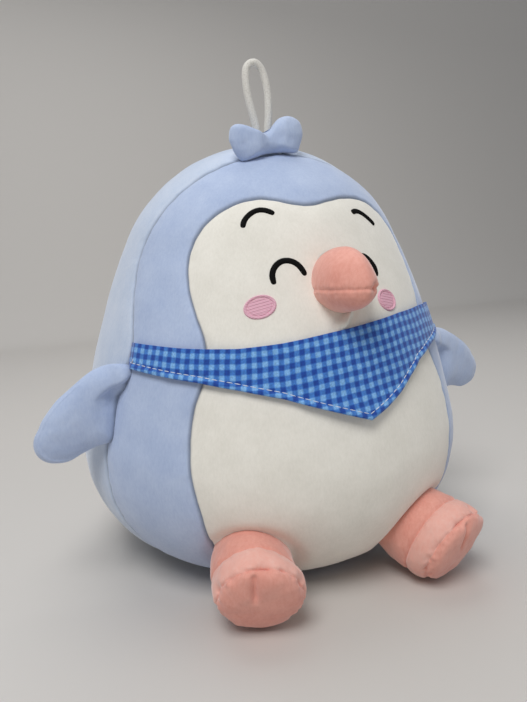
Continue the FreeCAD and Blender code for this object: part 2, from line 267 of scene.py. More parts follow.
# Side seam from the base to the middle of the crown: azimuth from the front and height.
SIDE_SEAM = ((70, 6.6), (71, 20), (72, 38), (72.6, 60), (72.5, 85), (71, 106), (67.5, 122), (67, 134),
             (70, 148), (73.4, 164), (74.6, 177), (73, 187), (69.5, 199), (65, 207.5), (59, 214.5),
             (49, 220), (37, 223.8), (18, 226.3), (0, 227.1))
BASE_RING_Z = 6.6
HIP, LEG_AXIS = Vector((47, -85, 26.2)), Vector((0.335, -0.919, -0.208))


def mirrored(vector, side):
    """A vector given for the left, side 1, as it is on a side."""
    return Vector((side * vector.x, vector.y, vector.z))


def skin_shape(point, edge):
    """How far the skin stands off its smooth form, from the place and the distance to a seam."""
    edge = edge / MM
    soft = 0.55 * crumple(point, 34 * MM) + 0.25 * crumple(point, 13 * MM, 3.0)
    pucker = 0.45 * crumple(point, 5.5 * MM, 9.0) * bump(edge, 6)
    valley = -1.4 * bump(edge, 0.9) - 0.5 * bump(edge, 5)
    x, z = abs(point.x) / MM, point.z / MM
    valley *= 1 + 1.6 * ease((x - 87) / 5) * ease((z - 82) / 5) * ease((124 - z) / 4)
    chin = chin_fold(point)
    hip = min((point / MM - mirrored(HIP, side)).length for side in (-1, 1))
    tuck = -2.2 * bump(hip - 21, 4)
    return (soft + pucker + valley + chin + tuck) * MM


def chin_fold(point):
    """A short pinched ridge that runs down from the beak, with a crease at each side."""
    if point.y > 0:
        return 0.0
    x, z = point.x / MM, point.z / MM
    reach = ease((148 - z) / 3) * ease((z - 137.5) / 3.5)
    off = x - 1.2 - (z - 141) * 0.6
    return reach * (3.8 * bump(off, 2.0) - 0.8 * bump(off - 4.4, 1.8) - 0.8 * bump(off + 4.4, 1.8))


def even_line(shape, keys, count):
    """Directions evenly spaced along a smooth line drawn over the skin through the keys."""
    fine = [shape.skin(p)[0] for p in smooth_line(keys, count * 3)]
    run = [0.0]
    for a, b in zip(fine, fine[1:]):
        run.append(run[-1] + (b - a).length)
    line, k = [], 0
    for i in range(count):
        goal = run[-1] * i / (count - 1)
        while k < len(run) - 2 and run[k + 1] < goal:
            k += 1
        t = (goal - run[k]) / max(1e-9, run[k + 1] - run[k])
        line.append((fine[k].lerp(fine[k + 1], min(1.0, t)) - HEART).normalized())
    return line


def patch_half(shape, side):
    """Edge of the white panel on one side, from the dip under the hood to the base."""
    dip = [PATCH[0], PATCH[1], PATCH[2]] if side > 0 else [PATCH[0], (-11, 199.5)]
    return [shape.front(x, z) for x, z in dip] + [shape.front(side * x, z) for x, z in PATCH[3:]]


def seam_half(shape, side):
    """Side seam on one side, from the base to the middle of the crown."""
    return [shape.around(side * azimuth, z) for azimuth, z in SIDE_SEAM]


def skin_point(shape, direction, edge):
    """Point of the finished, lumpy skin, with its outward normal."""
    point, normal = shape.skin(direction)
    return point + normal * skin_shape(point, edge), normal


def panel(shape, name, colour, node, grid, direction, seams):
    """Body panel: a grid laid on the skin along direction(u, v), sunk where seams(u) run."""
    def place(u, v):
        way = direction(u, v)
        smooth = shape.skin(way)[0]
        edges = [(smooth - shape.skin(seam)[0]).length for seam in seams(u)]
        ring = abs(smooth.z - BASE_RING_Z * MM) * 2.4
        edge = min(edges + [ring])
        # The second value marks painted shade: 1 on a seam, fading within a millimetre or two.
        return skin_point(shape, way, edge)[0], bump(edge / MM, 0.8)
    bm = grid_sheet(*grid, place, closed=True)
    face_out(bm, HEART)
    finished(bm, f"{name}_plush", f"brushed_{colour}_plush", "body", [node],
             bpy.context.scene.penguin_sizes.cloth)


# ---------------------------------------------------------------- materials

def add(tree, kind, inputs, **settings):
    """Add one shader node with its settings; an input is a value or another node's output."""
    item = tree.nodes.new("ShaderNode" + kind)
    for key, value in settings.items():
        setattr(item, key, value)
    for key, value in inputs.items():
        socket = item.inputs[key]
        if isinstance(value, bpy.types.NodeSocket):
            tree.links.new(value, socket)
        else:
            socket.default_value = value
    return item


def compute(tree, operation, *values):
    """Output of one math node."""
    return add(tree, "Math", dict(enumerate(values)), operation=operation).outputs[0]


def carry(tree, value, **ends):
    """A value carried from one range to another."""
    inputs = {key.replace("_", " ").title(): end for key, end in ends.items()}
    return add(tree, "MapRange", {"Value": value, **inputs}).outputs[0]


def blend(tree, factor, first, second, way="MIX"):
    """Two colours mixed by a factor, or multiplied."""
    return add(tree, "Mix", {"Factor": factor, 6: first, 7: second}, data_type="RGBA",
               blend_type=way).outputs[2]


def texture(tree, kind, place, grain, output, **inputs):
    """A texture whose features are about one grain of millimetres apart."""
    inputs = {key.title(): value for key, value in inputs.items()}
    return add(tree, kind, {"Vector": place, "Scale": 1 / (grain * MM), **inputs}).outputs[output]


def relief(tree, height, strength, millimetres, invert=False):
    """Normal of a shallow relief."""
    return add(tree, "Bump", {"Height": height, "Strength": strength, "Distance": millimetres * MM},
               invert=invert).outputs[0]


def object_place(tree):
    return add(tree, "TexCoord", {}).outputs["Object"]


def flat_place(tree):
    return add(tree, "UVMap", {}, uv_map="flat").outputs[0]


def brushed_plush(tree, colour, shade, nap=0.55, pile=0.18):
    """Knitted polyester plush, brushed to a short nap.

    The nap scatters light, so the cloth looks powdery, pale at grazing angles, and mottled where
    fingers have brushed it both ways. Single fibres are finer than can be drawn, so the noise is
    that of tufts, drawn out along the nap. Shade is painted into the colour where the cloth dips
    into a seam or runs into the body."""
    place = object_place(tree)
    brushed = texture(tree, "TexNoise", place, 16, "Fac", detail=3.0, roughness=0.6)
    run = add(tree, "Mapping", {"Vector": place, "Scale": (1, 1, 0.4)}).outputs[0]
    fibre = texture(tree, "TexNoise", run, nap * 2, "Fac", detail=4.0, roughness=0.7)
    amount = carry(tree, compute(tree, "ADD", brushed, fibre), from_min=0.72, from_max=1.28)
    # Painted shade: the seam mark halves the colour in seams and where a wing meets the body.
    seam = add(tree, "Attribute", {}, attribute_name="seam").outputs["Fac"]
    dip = carry(tree, seam, to_min=1.0, to_max=0.5)
    return {"Base Color": blend(tree, 1.0, blend(tree, amount, shade, colour), dip, "MULTIPLY"),
            "Roughness": 0.95, "Specular IOR Level": 0.15, "Sheen Weight": 0.45, "Sheen Roughness": 0.45,
            "Normal": relief(tree, fibre, 0.55, pile)}


def satin_thread(tree, colour, shade, thread=0.45):
    """Embroidery thread in satin stitch: strands side by side across the stroke, matt from wear."""
    strand = add(tree, "TexWave", {"Vector": flat_place(tree), "Scale": 0.1 * math.pi / (thread * MM),
                                   "Distortion": 0.6, "Detail": 1.0},
                 wave_type="BANDS", bands_direction="X").outputs["Fac"]
    return {"Base Color": blend(tree, strand, shade, colour), "Roughness": 0.75, "Specular IOR Level": 0.15,
            "Normal": relief(tree, strand, 0.6, 0.15)}


def gingham_cotton(tree, dark, middle, light):
    """Woven gingham: bands of dark and pale yarn both ways, so the check has three tones.

    The yarns are drawn coarser than real ones, which would be lost at this size."""
    check, yarn = bpy.context.scene.penguin_sizes.check, 0.62 * MM
    place = flat_place(tree)
    wobble = texture(tree, "TexNoise", place, 9, "Color", detail=1.0)
    moved = add(tree, "VectorMath", {0: wobble, 1: (0.9 * MM,) * 3}, operation="MULTIPLY").outputs[0]
    cloth = add(tree, "VectorMath", {0: place, 1: moved}, operation="ADD").outputs[0]
    split = add(tree, "SeparateXYZ", {0: cloth}).outputs
    bands, yarns = [], []
    for axis in (0, 1):
        wave, fine = (compute(tree, "SINE", compute(tree, "MULTIPLY", split[axis], 2 * math.pi / length))
                      for length in (check, yarn))
        bands.append(carry(tree, wave, from_min=-0.45, from_max=0.4))
        yarns.append(fine)
    both = compute(tree, "MULTIPLY", compute(tree, "ADD", *bands), 0.5)
    ramp = add(tree, "ValToRGB", {"Fac": both})
    stops = ramp.color_ramp.elements
    stops[0].color, stops[1].color = light, dark
    stops.new(0.5).color = middle
    slub = texture(tree, "TexNoise", cloth, 0.8, "Fac", detail=3.0)
    speck = compute(tree, "MULTIPLY_ADD", compute(tree, "MULTIPLY", *yarns), 0.16, slub)
    lift = carry(tree, speck, from_min=0.2, from_max=0.8, to_min=0.72, to_max=1.3)
    return {"Base Color": blend(tree, 1.0, ramp.outputs[0], lift, "MULTIPLY"), "Roughness": 0.85,
            "Sheen Weight": 0.25, "Sheen Roughness": 0.5, "Normal": relief(tree, speck, 0.5, 0.12)}


def braided_elastic(tree, colour, shade):
    """Round elastic with a braided polyester cover: matt, with a small raised cell per strand."""
    braid = texture(tree, "TexVoronoi", object_place(tree), 0.6, "Distance")
    return {"Base Color": blend(tree, braid, colour, shade), "Roughness": 0.7, "Sheen Weight": 0.2,
            "Normal": relief(tree, braid, 0.3, 0.12, invert=True)}


def spun_thread(tree, colour):
    """Spun polyester, as thread or as filling: matt, with a faint twist."""
    twist = texture(tree, "TexNoise", object_place(tree), 0.5, "Fac")
    return {"Base Color": colour, "Roughness": 0.75, "Normal": relief(tree, twist, 0.4, 0.1)}


def painted_floor(tree, colour):
    """Matt painted board: even and pale, with a barely visible unevenness."""
    grain = texture(tree, "TexNoise", object_place(tree), 25, "Fac", detail=3.0)
    return {"Base Color": colour, "Roughness": 0.75, "Normal": relief(tree, grain, 0.1, 0.2)}


# Each finish: how it is made, its colours and what sets it apart.
LONG_NAP = {"nap": 0.8, "pile": 0.4}
FINISHES = {
    "brushed_white_plush": (brushed_plush, ("white", "white_shade"), {}),
    "brushed_blue_plush": (brushed_plush, ("blue", "blue_shade"), {}),
    # Painted sheen: this paler blue stands in for the sheen of the back's nap.
    "brushed_pale_blue_plush": (brushed_plush, ("pale_blue", "pale_blue_shade"), {}),
    "brushed_salmon_plush": (brushed_plush, ("salmon", "salmon_shade"), LONG_NAP),
    "brushed_light_salmon_plush": (brushed_plush, ("salmon_light", "salmon"), LONG_NAP),
    "black_satin_thread": (satin_thread, ("black", "#030303"), {}),
    "pink_satin_thread": (satin_thread, ("pink", "#da9ab0"), {"thread": 0.7}),
    "woven_gingham_cotton": (gingham_cotton, ("gingham_dark", "gingham_middle", "gingham_light"), {}),
    "braided_white_elastic": (braided_elastic, ("cord", "#cdc9c0"), {}),
    "spun_white_thread": (spun_thread, ("#dfe2ea",), {}),
    "polyester_fibre_fill": (spun_thread, ("#f4f4f2",), {}),
    "painted_floor_board": (painted_floor, ("floor",), {}),
}


def finish_of(name):
    """The named finish, made the first time it is asked for."""
    if name in bpy.data.materials:
        return bpy.data.materials[name]
    material = bpy.data.materials.new(name)
    material.use_nodes = True
    tree = material.node_tree
    tree.nodes.clear()
    maker, colours, values = FINISHES[name]
    chosen = bpy.context.scene.penguin_colours
    colours = [linear(c) if c.startswith("#") else getattr(chosen, c) for c in colours]
    shader = add(tree, "BsdfPrincipled", maker(tree, *colours, **values))
    add(tree, "OutputMaterial", {"Surface": shader.outputs[0]})
    return material


# ---------------------------------------------------------------- settings

class PenguinSizes(bpy.types.PropertyGroup):
    """Lengths of the toy that a user would change."""

    base_disc: length_property("Base disc", "Radius of the flat spot it sits on", 42.5)
    belly_arc: length_property("Belly arc", "Radius of the arc round the bottom edge", 68.8)
    side_arc: length_property("Side arc", "Radius of the long arc up the side", 455)
    head_arc: length_property("Head arc", "Radius of the head", 84.9)
    head_centre: length_property("Head height", "Height of the head's centre", 149.9)
    cloth: length_property("Plush thickness", "Thickness of the plush with its nap", 2)
    stroke: length_property("Stroke", "Width of the satin strokes of brows and eyes", 3.2)
    check: length_property("Check", "Width of one dark and one pale band of the gingham", 4.9)
    stitch: length_property("Stitch", "Length of one stitch and its gap on the bandana", 3.6)
    cord: length_property("Cord", "Diameter of the hanging cord", 4)
    foot: length_property("Foot", "Radius of a foot at its widest", 22.9)
    wing: length_property("Wing", "Half the thickness of a wing", 7)
    tuft: length_property("Tuft", "Half the thickness of the tuft", 7.5)


class PenguinColours(bpy.types.PropertyGroup):
    """Colours of the toy that a user would change."""

    white: colour_property("White plush", "Face and belly, brushed one way", "#f4f0e6")
    white_shade: colour_property("White plush, brushed back", "Face and belly, brushed the other way",
                                 "#e9e5da")
    blue: colour_property("Blue plush", "Hood and sides", "#bdcbe5")
    blue_shade: colour_property("Blue plush, brushed back", "Hood and sides, brushed the other way",
                                "#acbcdb")
    # Painted sheen: back, base and wing backs are painted paler than the hood, for the sheen of the nap
    # under light from behind.
    pale_blue: colour_property("Pale blue plush", "Back and wings", "#cdd7e8")
    pale_blue_shade: colour_property("Pale blue plush, brushed back", "Back and wings", "#bccae0")
    salmon: colour_property("Salmon plush", "Beak, legs and soles", "#f0af9f")
    salmon_shade: colour_property("Salmon plush, brushed back", "Beak, legs and soles", "#e39a8a")
    salmon_light: colour_property("Light salmon plush", "Upper of the feet", "#f2bfb2")
    black: colour_property("Black thread", "Brows and eyes", "#060605")
    pink: colour_property("Pink thread", "Cheeks", "#f2c9d5")
    gingham_dark: colour_property("Gingham, dark", "Where two dark bands cross", "#0b429c")
    gingham_middle: colour_property("Gingham, middle", "Where a dark and a pale band cross", "#3b77c6")
    gingham_light: colour_property("Gingham, light", "Where two pale bands cross", "#7db2e6")
    cord: colour_property("Cord", "Hanging cord", "#ebe8e0")
    floor: colour_property("Floor", "Floor and backdrop", "#cfcbc6")


class PieceOperator:
    """What the operators share."""

    bl_options = {"REGISTER", "UNDO"}

    @classmethod
    def poll(cls, context):
        return context.scene is not None


def body_shape():
    return BodyShape(bpy.context.scene.penguin_sizes)


# ---------------------------------------------------------------- body panels

class OBJECT_OT_penguin_front(PieceOperator, bpy.types.Operator):
    """White plush panel of the face and belly, with the brow dip and the pinch under the beak"""

    bl_idname = "object.penguin_front"
    bl_label = "Front panel"

    def execute(self, context):
        shape = body_shape()
        right = even_line(shape, patch_half(shape, 1), 90)
        left = even_line(shape, patch_half(shape, -1), 90)
        foot = even_line(shape, [right[-1], shape.around(25, BASE_RING_Z), shape.around(0, BASE_RING_Z),
                                 shape.around(-25, BASE_RING_Z), left[-1]], 40)
        rim = right + foot[1:-1] + left[::-1]
        middle = shape.front(0, 112)

        def seams(u):
            return [between(rim, u).normalized()]

        def direction(u, v):
            spread = 1 - (1 - v) ** 1.6
            return middle.lerp(seams(u)[0], spread).normalized()
        panel(shape, "front", "white", "front_panel", (300, 75), direction, seams)
        return {"FINISHED"}


class OBJECT_OT_penguin_hood(PieceOperator, bpy.types.Operator):
    """Blue plush panel over the brow and down both sides, between the face and the side seams"""

    bl_idname = "object.penguin_hood"
    bl_label = "Hood panel"

    def execute(self, context):
        shape = body_shape()
        count = 120
        inner = (even_line(shape, patch_half(shape, 1), count)[::-1]
                 + even_line(shape, patch_half(shape, -1), count)[1:])
        outer = (even_line(shape, seam_half(shape, 1), count)
                 + even_line(shape, seam_half(shape, -1), count)[::-1][1:])

        def seams(u):
            return [between(inner, u).normalized(), between(outer, u).normalized()]

        def direction(u, v):
            a, b = seams(u)
            return a.lerp(b, 0.5 - 0.5 * math.cos(math.pi * v)).normalized()
        panel(shape, "hood", "blue", "hood_panel", (330, 44), direction, seams)
        return {"FINISHED"}


class OBJECT_OT_penguin_back(PieceOperator, bpy.types.Operator):
    """Two back panels of blue plush, painted paler than the hood for the sheen of their nap, joined by a
    seam up the middle
    """

    bl_idname = "object.penguin_back"
    bl_label = "Back panels"

    def execute(self, context):
        shape = body_shape()
        ridge = [shape.around(180, z) for z in (6.6, 20, 50, 90, 130, 170, 200, 222, 232)]
        ridge += [Vector((0, 0, 1)), shape.around(0, 232.6), shape.around(0, 227.1)]
        spine = even_line(shape, ridge, 120)
        for side, name in ((1, "left"), (-1, "right")):
            seam = even_line(shape, seam_half(shape, side), 120)
            mid = [shape.around(side * 125, z) for z in (6.6, 40, 90, 140, 180, 205, 220)]
            mid += [shape.around(side * 110, 229), shape.around(side * 40, 231), shape.around(0, 227.1)]
            mid = even_line(shape, mid, 120)

            def seams(u, seam=seam):
                return [between(seam, u).normalized(), between(spine, u).normalized()]

            def direction(u, v, seam=seam, mid=mid):
                t = 0.5 - 0.5 * math.cos(math.pi * v)
                a, b = seams(u, seam)
                bow = 2 * between(mid, u) - 0.5 * (a + b)
                return ((1 - t) ** 2 * a + 2 * t * (1 - t) * bow + t * t * b).normalized()
            panel(shape, f"back_{name}", "pale_blue", f"back_panel_{name}", (200, 70), direction, seams)
        return {"FINISHED"}


class OBJECT_OT_penguin_base(PieceOperator, bpy.types.Operator):
    """Round base panel, and the fibre filling of the body"""

    bl_idname = "object.penguin_base"
    bl_label = "Base panel and filling"

    def execute(self, context):
        shape = body_shape()

        def direction(u, v):
            rim = shape.around(360 * u, BASE_RING_Z)
            return Vector((0, 0, -1)).lerp(rim, v).normalized()
        # The base takes the paler blue that is painted for sheen.
        panel(shape, "base", "pale_blue", "base_panel", (150, 40), direction,
              lambda u: [shape.around(360 * u, BASE_RING_Z)])

        def inside(u, v):
            turn, rise = 2 * math.pi * u, math.pi * (v - 0.5)
            way = Vector((math.cos(turn) * math.cos(rise), math.sin(turn) * math.cos(rise), math.sin(rise)))
            point, normal = shape.skin(way)
            return point + normal * (-6 + 1.2 * crumple(point, 20 * MM)) * MM
        bm = grid_sheet(72, 48, inside, closed=True)
        face_out(bm, HEART)
        finished(bm, "body_fibre", "polyester_fibre_fill", "body", ["body_stuffing"])
        return {"FINISHED"}


# ---------------------------------------------------------------- face

# Middle of each cheek, x and height, and half its width.
CHEEKS = {-1: (-37, 151.1, 8.3), 1: (31, 149.4, 6.9)}
# Middle line of each brow and eye: x and height.
STROKES = {
    "brow_right": ((-37, 188), (-35.5, 191.4), (-32.3, 194.4), (-28.4, 196.1), (-24.6, 195.8),
                   (-21.4, 194.1)),
    "brow_left": ((22.4, 193.8), (25.6, 194.6), (29.4, 193.6), (33.6, 190.9), (37.4, 187.2)),
    "eye_right": ((-28.8, 161), (-28.9, 165.2), (-27, 169), (-23.6, 171.4), (-19.8, 171.6),
                  (-16.6, 170), (-14.6, 167.4), (-13.4, 164.4)),
    "eye_left": ((13, 164.6), (15, 168.6), (18.4, 171.4), (22, 171.8), (25.4, 169.4), (27.6, 165.6),
                 (27.4, 161.4)),
}


class OBJECT_OT_penguin_embroidery(PieceOperator, bpy.types.Operator):
    """Brows, smiling eyes and cheeks in satin stitch, padded a little above the plush"""

    bl_idname = "object.penguin_embroidery"
    bl_label = "Embroidered face"

    def execute(self, context):
        shape = body_shape()
        for name, keys in STROKES.items():
            self.stroke(shape, name, keys, context.scene.penguin_sizes.stroke)
        for name, side in (("cheek_right", -1), ("cheek_left", 1)):
            self.cheek(shape, name, side)
        return {"FINISHED"}

    def stroke(self, shape, name, keys, width):
        """One bowed stroke, its strands laid across it."""
        line = even_line(shape, [shape.front(x, z) for x, z in keys], 60)
        points = [shape.skin(p)[0] for p in line]
        length = sum((b - a).length for a, b in zip(points, points[1:]))

        def place(u, v):
            way = between(line, u).normalized()
            point, normal = shape.skin(way)
            ahead = between(points, min(1, u + 0.02)) - between(points, max(0, u - 0.02))
            aside = normal.cross(ahead).normalized()
            ends = (1 - abs(2 * u - 1) ** 14) ** 0.5
            off = (v - 0.5) * width * (0.25 + 0.75 * ends)
            ragged = 0.12 * MM * crumple((u * length, v * 3 * MM, 0), 0.5 * MM) * (2 * v - 1)
            way = (point + aside * (off + ragged) - HEART).normalized()
            ground, normal = skin_point(shape, way, 20 * MM)
            return ground + normal * (1.0 * math.sqrt(max(0, 1 - (2 * v - 1) ** 2)) * (0.3 + 0.7 * ends)
                                      - 0.25) * MM
        bm = grid_sheet(96, 12, place, uv=lambda u, v: (u * length, v * width))
        face_out(bm, HEART)
        thicken(bm, 0.3)
        finished(bm, f"{name}_satin", "black_satin_thread", "body", [name])

    def cheek(self, shape, name, side):
        """An oval cheek: rows of stitches inside a raised satin border."""
        centre, normal = shape.skin(shape.front(*CHEEKS[side][:2]))
        flat_way = Vector((0, 0, 1)).cross(normal).normalized()
        rise = normal.cross(flat_way)
        tilt = -side * math.radians(14)
        long_way = flat_way * math.cos(tilt) + rise * math.sin(tilt)
        short_way = normal.cross(long_way)
        size = (CHEEKS[side][2] * MM, 5.9 * MM)

        def spot(u, v):
            return (size[0] * v * math.cos(2 * math.pi * u), size[1] * v * math.sin(2 * math.pi * u))

        def place(u, v):
            a, b = spot(u, v)
            aim = centre + long_way * a + short_way * b
            ground, up = skin_point(shape, (aim - HEART).normalized(), 20 * MM)
            rib = 0.12 * math.sin(2 * math.pi * b / (1.5 * MM)) * (1 - ease((v - 0.7) / 0.1))
            return ground + up * (0.4 + rib + 0.45 * bump(v - 0.87, 0.08) - 0.4 * bump(v - 0.73, 0.04)
                                  - 1.1 * ease((v - 0.93) / 0.07)) * MM
        bm = grid_sheet(90, 34, place, uv=lambda u, v: spot(u, v)[::-1], closed=True)
        face_out(bm, HEART)
        thicken(bm, 0.3)
        finished(bm, f"{name}_satin", "pink_satin_thread", "body", [name])


class OBJECT_OT_penguin_beak(PieceOperator, bpy.types.Operator):
    """Beak of two salmon plush pieces, gathered along the mouth seam, with its filling"""

    bl_idname = "object.penguin_beak"
    bl_label = "Beak"

    MOUTH = 157.4     # height of the mouth seam
    ROOT = -83        # where the beak starts, inside the face
    REACH = 35        # from the root to the blunt tip
    HALF_WIDTH, RISE, DROP = 13.5, 19.6, 11.8

    def place(self, part, u, v, shrink=1.0):
        along = math.sin(v * math.pi / 2)
        cap = (1 - along ** 5) ** 0.5
        full = 1 - 0.8 * (along - 0.36) ** 2
        height = self.RISE * full if part > 0 else self.DROP * (1 - 0.12 * along)
        turn = math.pi * u
        narrow = 0.14 * math.sin(turn) ** 2 if part > 0 else 0.16 * math.sin(turn)
        side = self.HALF_WIDTH * (1 - narrow) * full * cap * math.cos(turn)
        lift = part * height * cap * math.sin(turn)
        point = Vector((side + 1, self.ROOT - self.REACH * along, self.MOUTH + 1.2 * along + lift))
        out = Vector((side, -14 * along ** 3, lift * 0.9)) if side or lift else Vector((0, -1, 0))
        out.normalize()
        seam = abs(lift)
        gather = 0.5 * crumple(point * MM, 2.6 * MM, 5.0) * bump(seam, 3.6)
        dent = -1.8 * bump((point - Vector((6.5, -116, self.MOUTH + 1.4))).length, 2.2)
        bulk = 0.5 * crumple(point * MM, 11 * MM)
        point += out * (gather + dent + bulk - 0.7 * bump(seam, 0.9) - 0.2 * bump(seam, 3))
        centre = Vector((0, self.ROOT - 14, 160))
        return (centre + (point - centre) * shrink) * MM

    def execute(self, context):
        for part, name in ((1, "upper"), (-1, "lower")):
            bm = grid_sheet(80, 60, lambda u, v: self.place(part, u, v), closed=True)
            face_out(bm, Vector((0, -90, 159)) * MM)
            finished(bm, f"beak_{name}_plush", "brushed_salmon_plush", "body", [f"beak_{name}"])

        def core(u, v):
            part = 1 if u < 0.5 else -1
            return self.place(part, 2 * u if u < 0.5 else 2 - 2 * u, v, shrink=0.86)
        bm = grid_sheet(60, 24, core, closed=True)
        finished(bm, "beak_fibre", "polyester_fibre_fill", "body", ["beak_stuffing"])
        return {"FINISHED"}


# ---------------------------------------------------------------- bandana

# Upper and lower edge of the bandana as worn: azimuth from the front and height.
BAND_TOP = ((-67, 133.8), (-56, 133.2), (-46, 132.4), (-38.9, 132.2), (-30, 132.3), (-18, 134),
            (-4.1, 137.2), (10.1, 140), (22.5, 142.2), (38, 143.3), (52, 142.4), (62, 140.6),
            (70, 138.6))
BAND_LEFT = ((-67, 121.6), (-60, 120.6), (-50, 118.8), (-40.5, 117), (-30, 113.8), (-19, 109.4),
             (-7.2, 102), (2.9, 95.6))
BAND_RIGHT = ((2.9, 95.6), (9, 100.4), (15, 106), (20, 111.5), (26, 117.2), (34, 121.6), (44, 124.8),
              (55, 126.6), (70, 127))
TIP_AZIMUTH = 2.9
COLUMNS, TIP_COLUMN = 160, 84    # columns of the cloth, and the one that runs to the tip
HEM = 2.9                        # from the lower edge to the topstitching


def height_on(keys, azimuth):
    """Height of an edge of the bandana at an azimuth."""
    for (a, z1), (b, z2) in zip(keys, keys[1:]):
        if azimuth <= b:
            t = (azimuth - a) / (b - a)
            return z1 + (z2 - z1) * t
    return keys[-1][1]


class OBJECT_OT_penguin_bandana(PieceOperator, bpy.types.Operator):
    """Gingham bandana sewn into the side seams, with a topstitched hem and a loose tip"""

    bl_idname = "object.penguin_bandana"
    bl_label = "Bandana"

    def azimuth(self, u):
        """Columns run evenly from the right seam to the tip and on to the left seam."""
        tip = TIP_COLUMN / COLUMNS
        if u < tip:
            return BAND_TOP[0][0] + (TIP_AZIMUTH - BAND_TOP[0][0]) * u / tip
        return TIP_AZIMUTH + (BAND_TOP[-1][0] - TIP_AZIMUTH) * (u - tip) / (1 - tip)

    def edges(self, u):
        azimuth = self.azimuth(u)
        lower = BAND_LEFT if azimuth < TIP_AZIMUTH else BAND_RIGHT
        return height_on(BAND_TOP, azimuth), height_on(lower, azimuth)

    def place(self, shape, u, drop, lift=0.0):
        """Point of the cloth at a column and so many millimetres below the upper edge."""
        top, low = self.edges(u)
        z = top - drop
        point, normal = shape.skin(shape.around(self.azimuth(u), z))
        loose = 1.0 + 0.7 * crumple(point, 26 * MM, 4.0) + 2.0 * ease((112 - z) / 16)
        edge = min(drop, z - low)
        hem = 0.7 * bump(z - low - 1.2, 1.6) - 0.45 * bump(z - low - HEM, 0.7)
        frill = 0.5 * crumple(point, 9 * MM, 2.0) * bump(edge, 5)
        held = ease(min(u, 1 - u) / 0.03)
        return point + normal * ((1.1 + loose + hem + frill) * held - 0.6 * (1 - held) + lift) * MM

    def execute(self, context):
        shape = body_shape()
        sizes = context.scene.penguin_sizes
        tops = [self.place(shape, i / COLUMNS, 0) for i in range(COLUMNS + 1)]
        run = [0.0]
        for a, b in zip(tops, tops[1:]):
            run.append(run[-1] + (b - a).length)

        def drop(u, v):
            top, low = self.edges(u)
            return (top - low) * v

        def uv(u, v):
            place = u * COLUMNS
            k = min(COLUMNS - 1, int(place))
            return run[k] + (run[k + 1] - run[k]) * (place - k), drop(u, v) * MM
        bm = grid_sheet(COLUMNS, 46, lambda u, v: self.place(shape, u, drop(u, v)), uv=uv)
        face_out(bm, HEART)
        area = sum(face.calc_area() for face in bm.faces)
        thicken(bm, 0.9)
        cloth = finished(bm, "bandana_gingham", "woven_gingham_cotton", None,
                         ["bandana_band", "bandana_tip"])
        thread = self.topstitch(shape, sizes.stitch)
        for piece in (cloth, thread):
            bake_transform(piece)
        drop_max = max(drop(i / COLUMNS, 1) for i in range(COLUMNS + 1)) * MM
        return {"FINISHED"}

    def topstitch(self, shape, pitch):
        """White running stitches just inside the lower edge, and the tangle at the right end."""
        fine = 10 * COLUMNS
        line = [self.place(shape, i / fine, self.edges(i / fine)[0] - self.edges(i / fine)[1] - HEM,
                           lift=0.15)
                for i in range(int(0.012 * fine), int(0.99 * fine))]
        bm = bmesh.new()
        gone, start = 0.0, line[0]
        for a, b in zip(line, line[1:]):
            step = (b - a).length
            if gone < pitch * 0.78 <= gone + step:
                self.stitch(bm, start, b)
            gone += step
            if gone >= pitch:
                gone, start = 0.0, b
        for turn in (0.4, -0.7, 1.1, -0.2):
            spot = line[int(6 + 14 * abs(turn))]
            slant = (line[40] - line[0]).normalized() + Vector((0, 0, turn))
            self.stitch(bm, spot, spot + slant.normalized() * 3.4 * MM)
        return finished(bm, "bandana_topstitch", "spun_white_thread", None, ())

    def stitch(self, bm, a, b):
        """One plump stitch from a to b."""
        turn = (b - a).to_track_quat("X", "Z").to_matrix().to_4x4()
        size = Matrix.Diagonal(((b - a).length * 0.56, 0.24 * MM, 0.22 * MM, 1))
        bmesh.ops.create_uvsphere(bm, u_segments=7, v_segments=5, radius=1,
                                  matrix=Matrix.Translation((a + b) / 2) @ turn @ size)


# ---------------------------------------------------------------- wings

# Outline of the right wing, seen from the front: x and height, from the root's top round the tip.
WING = ((-86.5, 117), (-88.5, 121.6), (-94, 123.6), (-101, 123.4), (-105.5, 122.4), (-112, 119.6),
        (-121, 113.2), (-128, 107.4), (-134.5, 100), (-137.3, 95), (-139.9, 90), (-140.2, 84.6),
        (-137.4, 79.4), (-132, 76.6), (-124.5, 76.4), (-117, 79.6), (-110, 82), (-103.5, 82.6),
        (-98.5, 84), (-96.6, 90), (-95.6, 99), (-92.5, 106.5), (-88.5, 112))


WING_ROOT = Vector((97, -34.5, 103))      # middle of the seam that holds the wing
WING_MIDDLE = Vector((117, -34.5, 99))


def cushion(name, rows, place, finishes, fills):
    """Two plush faces sewn round their rim and the filling between them.

    place(face, u, v, shrink) gives a point of the front, face -1, or of the back, face 1."""
    def core(u, v):
        return place(-1, u, 2 * v, 0.8) if v < 0.5 else place(1, u, 2 - 2 * v, 0.8)
    inside = sum((place(face, u / 8, 0.3, 1.0)[0] for face in (-1, 1) for u in range(8)), Vector()) / 16
    for half, finish, fill, across, along, put in (
            ("front", finishes[0], fills[0], 150, rows, lambda u, v: place(-1, u, v, 1.0)),
            ("back", finishes[1], fills[0], 150, rows, lambda u, v: place(1, u, v, 1.0)),
            ("stuffing", "polyester_fibre_fill", fills[1], 60, rows - rows % 4, core)):
        bm = grid_sheet(across, along, put, closed=True)
        face_out(bm, inside)
        stuffing = half == "stuffing"
        piece = finished(bm, f"{name}_fibre" if stuffing else f"{name}_{half}_plush", finish, None,
                         [f"{name}_{half}"])
        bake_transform(piece)


